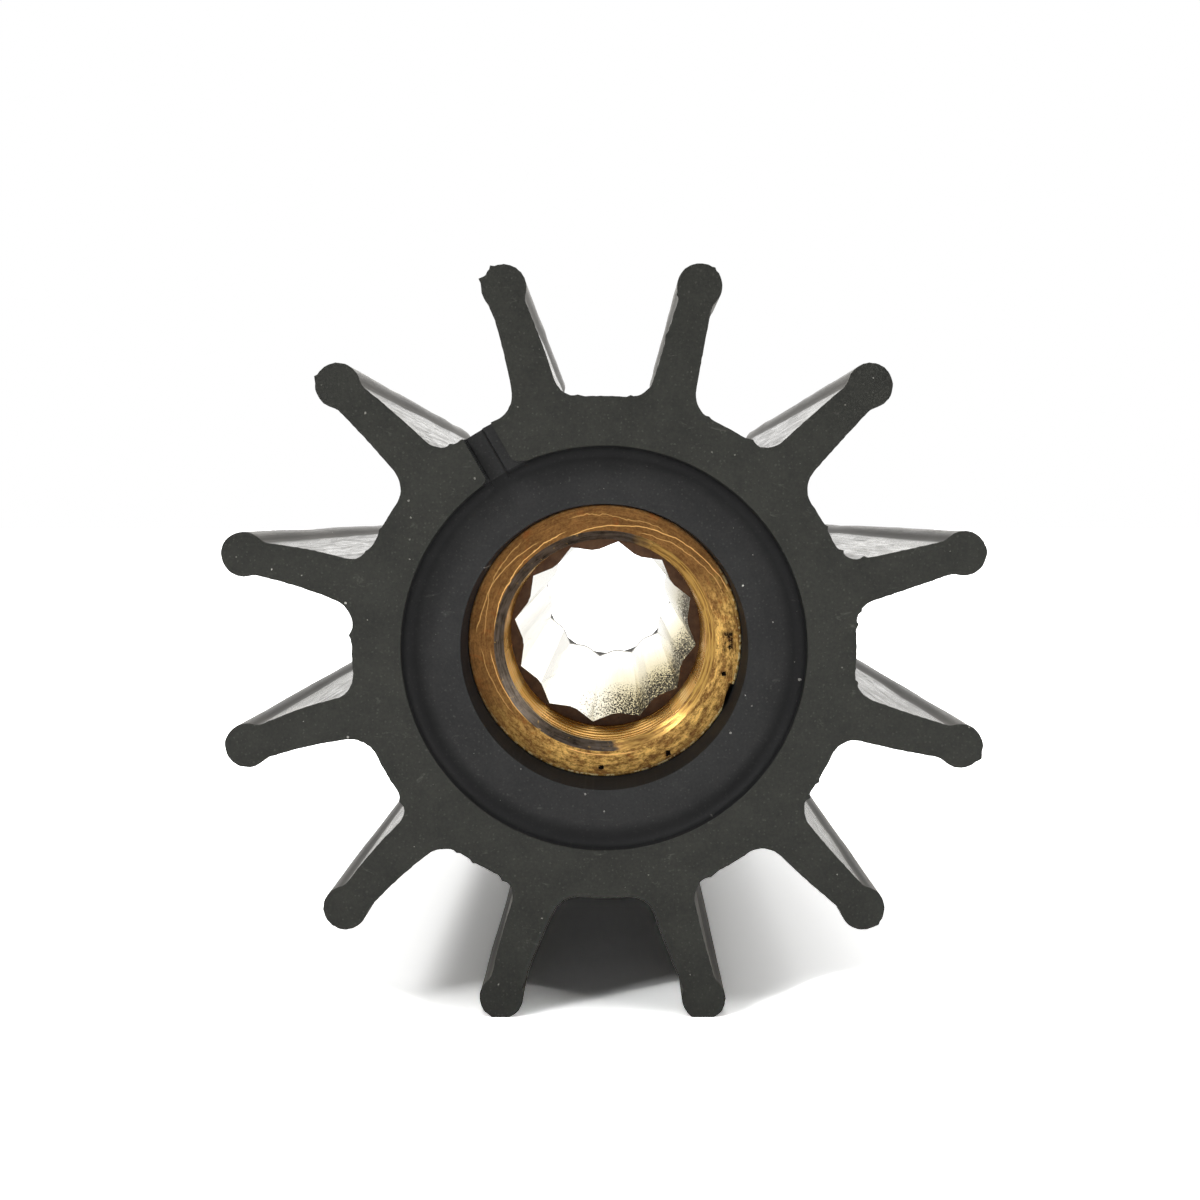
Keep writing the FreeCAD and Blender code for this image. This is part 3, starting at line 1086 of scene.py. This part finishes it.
def chamferLook(name, values):
    # grey violet tarnish round the left, clean gold from the lower right to the top, with painted glint lines
    # on its right
    look, tree, shader, place = newLook(name)
    radius, turn = radiusMm(tree, place), angleOf(tree, place)
    ragged = scaled(tree, noiseOf(tree, place, 1.6, 4, 0.6), 14.0, turn)
    dirty = most(tree, fade(tree, ragged, 66, 84), fade(tree, ragged, -75, -80))  # by angle
    turned = fade(tree, noiseOf(tree, place, 0.35, 4, 0.7, stretch=(0.1, 1, 0.1), offset=8), 0.35, 0.65)
    cloud = fade(tree, noiseOf(tree, place, 1.4, 5, 0.7, offset=4), 0.25, 0.6)
    streak = fade(tree, ringNoise(tree, radius, turn, 4.0, 0.25, offset=3), 0.36, 0.62)
    film = times(tree, sums(tree, "ADD", cloud, streak), 0.5)
    worn = blend(tree, film, values["stain"], values["tarnish"])
    brightPatches = fade(tree, noiseOf(tree, place, 0.9, 5, 0.75, offset=17), 0.61, 0.70)
    worn = blend(tree, times(tree, brightPatches, 0.6), worn, values["patinaGold"])
    clean = blend(tree, turned, values["patina"], values["polish"])
    wobble = noiseOf(tree, place, 3.0, 3, 0.6, offset=5)
    for line in chamferGlintLines:
        clean = blend(tree, wavyLine(tree, radius, turn, wobble, line), clean, values["glint"])
    fill(tree, shader, {
        "Base Color": blend(tree, dirty, clean, worn),
        "Specular Tint": values["polishEdge"],
        "Metallic": scaled(tree, dirty, 0.4, 0.5),
        "Roughness": scaled(tree, dirty, 0.22, 0.24),
    })
    bumpFrom(tree, shader, sums(tree, "ADD", cloud, turned), 0.3, 0.02)
    return look


def mouthWallLook(name, values):
    # turned gold wall with tool lines, painted golden glints on its lower right and lower left, and painted
    # shade in the tool grooves; the tarnish of the chamfer reaches onto its lower left
    look, tree, shader, place = newLook(name)
    depth, turn = depthMm(tree, place, -1000), angleOf(tree, place)
    turned = noiseOf(tree, place, 0.42, 4, 0.7, stretch=(0.05, 1, 0.05), offset=2)
    turned = fade(tree, turned, 0.34, 0.64)
    colour = blend(tree, turned, values["wall"], values["wallLight"])
    step, first = values["toolStep"], values["firstTool"]
    # painted shade: dark lines in the turned grooves, fainter where the glints are painted
    phase = sums(tree, "FRACT", scaled(tree, depth, 1 / step, 0.5 - first / step))
    groove = fade(tree, apart(tree, phase, 0.47), 0.14, 0.06)
    # painted highlights: glints on the wall at about -37 and -151 degrees, paler at their cores
    fromRight = apart(tree, turn, -37)
    fromLeft = apart(tree, turn, -151)
    brightPatches = most(tree, fade(tree, fromRight, 17, 4), fade(tree, fromLeft, 38, 4))
    paintedGlintCore = most(tree, fade(tree, fromRight, 6, 1), fade(tree, fromLeft, 4, 1))
    colour = blend(tree, times(tree, brightPatches, 0.8), colour, values["glint"])
    colour = blend(tree, times(tree, paintedGlintCore, 0.35), colour, values["glintPale"])
    groove = times(tree, groove, scaled(tree, brightPatches, -0.45, 0.7))
    colour = blend(tree, groove, colour, values["tooth"])
    dirt = fade(tree, noiseOf(tree, place, 1.8, 5, 0.7, offset=6), 0.60, 0.74)
    dirt = times(tree, dirt, scaled(tree, brightPatches, -0.8, 1.0))
    colour = blend(tree, times(tree, dirt, 0.4), colour, values["tooth"])
    lowLeft = times(tree, fade(tree, turn, -84, -100), fade(tree, turn, -165, -140))
    ragged = scaled(tree, noiseOf(tree, place, 1.2, 4, 0.6, offset=9), 3.0, depth)
    tarnished = times(tree, fade(tree, ragged, 35.2, 36.4), lowLeft)
    colour = blend(tree, times(tree, tarnished, 0.85), colour, values["tarnish"])
    fill(tree, shader, {
        "Base Color": colour,
        "Specular Tint": values["polishEdge"],
        "Metallic": scaled(tree, brightPatches, -0.30, 0.85),
        "Specular IOR Level": scaled(tree, brightPatches, -0.45, 0.5),
        "Roughness": scaled(tree, dirt, 0.12, scaled(tree, brightPatches, 0.05, 0.25)),
    })
    bumpFrom(tree, shader, turned, 0.3, 0.02)
    return look


def toothFaceLook(name, values):
    look, tree, shader, place = newLook(name)
    cloud = fade(tree, noiseOf(tree, place, 1.5, 5, 0.7, offset=1), 0.3, 0.7)
    colour = blend(tree, cloud, values["tooth"], values["toothLight"])
    colour = blend(tree, times(tree, specksOf(tree, place, 0.9, 0.1, 0.4), 0.8), colour, values["stain"])
    fill(tree, shader, {"Base Color": colour, "Metallic": 0.5, "Roughness": 0.5})
    bumpFrom(tree, shader, cloud, 0.25, 0.02)
    return look


def splineWallLook(name, values):
    # broached flats: pale bright metal, with dark speckle towards the mouth on the right
    look, tree, shader, place = newLook(name)
    depth, turn = depthMm(tree, place), angleOf(tree, place)
    nearMouth = fade(tree, depth, 2, -22)
    rightSide = times(tree, fade(tree, turn, -118, -62), fade(tree, turn, 52, 30))
    level = times(tree, nearMouth, rightSide)
    grit = scaled(tree, level, 0.20, noiseOf(tree, place, 0.20, 2, 0.6, stretch=(1, 0.22, 1), offset=3))
    grit = times(tree, fade(tree, grit, 0.60, 0.66), fade(tree, level, 0.02, 0.10))
    drawn = fade(tree, noiseOf(tree, place, 0.4, 3, 0.6, stretch=(1, 0.04, 1), offset=5), 0.3, 0.7)
    colour = blend(tree, times(tree, drawn, 0.12), values["spline"], values["drawn"])
    shade = times(tree, rightSide, fade(tree, depth, 34, -18))
    colour = blend(tree, times(tree, shade, 0.95), colour, values["khaki"])
    colour = blend(tree, times(tree, grit, 0.9), colour, values["grit"])
    lowHalf = times(tree, fade(tree, turn, -8, -30), fade(tree, turn, -172, -150))
    # the last few millimetres before the relief are darker
    far = times(tree, times(tree, fade(tree, depth, 34.4, 36.0), 0.8), lowHalf)
    colour = blend(tree, far, colour, values["speckle"])
    fill(tree, shader, {
        "Base Color": colour,
        "Specular Tint": colour,
        "Metallic": scaled(tree, shade, -0.22, 0.9),
        "Specular IOR Level": scaled(tree, most(tree, grit, shade), -0.45, 0.5),
        "Roughness": scaled(tree, grit, 0.3, 0.13),
    })
    bumpFrom(tree, shader, drawn, 0.15, 0.01)
    return look


def reliefLook(name, values):
    look, tree, shader, place = newLook(name)
    cloud = fade(tree, noiseOf(tree, place, 1.5, 5, 0.7, offset=2), 0.3, 0.7)
    colour = blend(tree, cloud, values["stain"], values["speckle"])
    fill(tree, shader, {"Base Color": colour, "Metallic": 0.4, "Roughness": 0.6, "Specular IOR Level": 0.1})
    bumpFrom(tree, shader, cloud, 0.3, 0.02)
    return look


# looks onto the pieces, face by face
def giveLooks(piece, looks):
    # looks: pairs of a material and a test on a face's normal and middle in mm;
    # a face takes the first whose test it passes
    for look, test in looks:
        piece.data.materials.append(look)
    for face in piece.data.polygons:
        middle = face.center * 1000
        for index, (look, test) in enumerate(looks):
            if test(face.normal, middle):
                face.material_index = index
                break


def outOf(p):
    # distance from the shaft axis
    return math.hypot(p.x, p.z)


def smoothPiece(piece, angle):
    selectOnly(piece)
    bpy.ops.object.shade_smooth_by_angle(angle=math.radians(angle), keep_sharp_edges=True)
    weighted = piece.modifiers.new("weighted", "WEIGHTED_NORMAL")
    weighted.keep_sharp = True
    weighted.weight = 100
    applyModifier(piece, weighted)


def keepInBox(piece):
    # the flash may not stand out of the part's own box
    for v in piece.data.vertices:
        for axis in range(3):
            v.co[axis] = min(max(v.co[axis], cadLow[axis]), cadHigh[axis])


keepInBox(wheel)
keepInBox(insert)
ends = (rubberWheel["nearEnd"], rubberWheel["farEnd"])
giveLooks(wheel, [
    (rubberRecessLook("rubberRecess", rubberFinish["recess"]),
     lambda n, p: outOf(p) < 30.3 and min(abs(p.y - e) for e in ends) > 0.13),
    (rubberFaceLook("rubberEndFace", rubberFinish["face"]),
     lambda n, p: abs(n.y) > 0.3 or outOf(p) < 30.3),
    (rubberSideLook("rubberFlank", rubberFinish["side"]), lambda n, p: True),
])
smoothPiece(wheel, 50)

giveLooks(insert, [
    (splineWallLook("broachedFlats", bronzeFinish),
     lambda n, p: outOf(p) < 12.85 and abs(n.y) < 0.5 and -26.2 < p.y < 36.7),
    (reliefLook("farRelief", bronzeFinish),
     lambda n, p: outOf(p) < 13.3 and 30 < p.y < 42.3),
    (toothFaceLook("toothEnds", bronzeFinish),
     lambda n, p: abs(n.y) > 0.5 and abs(p.y - bronzeInsert["toothFace"]) < 0.5),
    (mouthWallLook("turnedMouth", bronzeFinish),
     lambda n, p: 12 < outOf(p) < 13.5 and abs(n.y) < 0.6 and p.y < -20),
    (chamferLook("mouthChamfer", bronzeFinish),
     lambda n, p: 13 < outOf(p) < 14.3 and p.y < -35 and abs(n.y) < 0.9),
    (bronzeRingLook("agedRing", bronzeFinish), lambda n, p: True),
])
smoothPiece(insert, 30)
print("looks given")

for piece, node, slotName in ((wheel, "rubber_body", "rubber"), (insert, "spline_insert", "insert_metal")):
    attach(piece, "root")
    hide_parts(node)

print("pieces in place")
